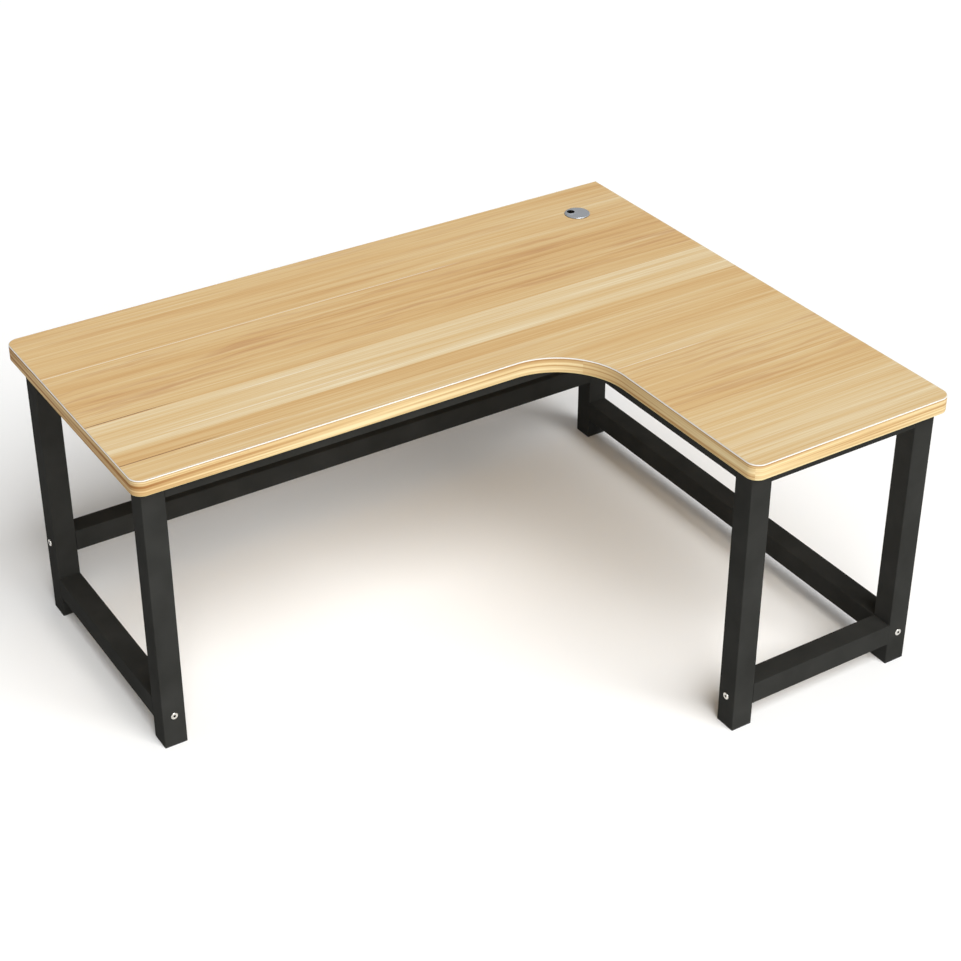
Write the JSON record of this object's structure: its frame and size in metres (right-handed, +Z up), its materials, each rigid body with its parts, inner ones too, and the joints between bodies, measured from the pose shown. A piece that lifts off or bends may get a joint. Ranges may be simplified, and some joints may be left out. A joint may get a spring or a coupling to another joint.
{
  "type": "corner desk",
  "caption": "L-shaped corner desk: wood-grain top with rounded corners and a curved inside edge on a black square-tube frame with bolted rails and a turning cable grommet.",
  "frame": {"origin": "floor point under the middle of the top's outline box", "axes": "+Z up; X along the long back edge, from the free end (-X) to the wall side of the return (+X); +Y towards the back edge, and the return runs towards -Y"},
  "size_m": [1.725, 1.4, 0.7538],
  "materials": {
    "laminate": "glossy light wood-grain melamine on particle board, grain along X",
    "edge_band": "wood-print plastic edge band with pale scraped corners",
    "powder_coat": "satin black powder coat on steel tube",
    "nickel": "bright nickel plate",
    "zinc": "zinc plate",
    "foot_plastic": "black moulded plastic",
    "grommet_plastic": "silver-grey moulded plastic"
  },
  "bodies": {
    "desk": {"desktop_board": "laminate", "edge_band_front": "edge_band", "edge_band_inside": "edge_band", "edge_band_return_end": "edge_band", "edge_band_wall_side": "edge_band", "edge_band_back": "edge_band", "leg_front_left": "powder_coat", "leg_back_left": "powder_coat", "leg_corner": "powder_coat", "leg_return_outer": "powder_coat", "leg_return_inner": "powder_coat", "foot_plug_front_left": "foot_plastic", "foot_plug_back_left": "foot_plastic", "foot_plug_corner": "foot_plastic", "foot_plug_return_outer": "foot_plastic", "foot_plug_return_inner": "foot_plastic", "foot_rail_left": "powder_coat", "foot_rail_return": "powder_coat", "side_rail": "powder_coat", "back_rail": "powder_coat", "top_rail_front": "powder_coat", "top_rail_back": "powder_coat", "top_rail_left": "powder_coat", "top_rail_wall": "powder_coat", "top_rail_return_end": "powder_coat", "top_rail_inside": "powder_coat", "leg_top_plates": "powder_coat", "rail_end_plates": "powder_coat", "weld_nuts": "zinc", "joint_bolts": "nickel", "rail_stubs": "powder_coat", "stub_screws": "zinc", "board_tabs": "powder_coat", "board_screws": "zinc", "grommet_liner": "grommet_plastic"},
    "cap": {"grommet_cap": "grommet_plastic"}
  },
  "joints": [
    {"name": "cap_turn", "type": "hinge", "parent": "desk", "child": "cap", "pos_m": [0.6975, 0.553, 0.752], "axis": [0, 0, 1], "continuous": true}
  ]
}
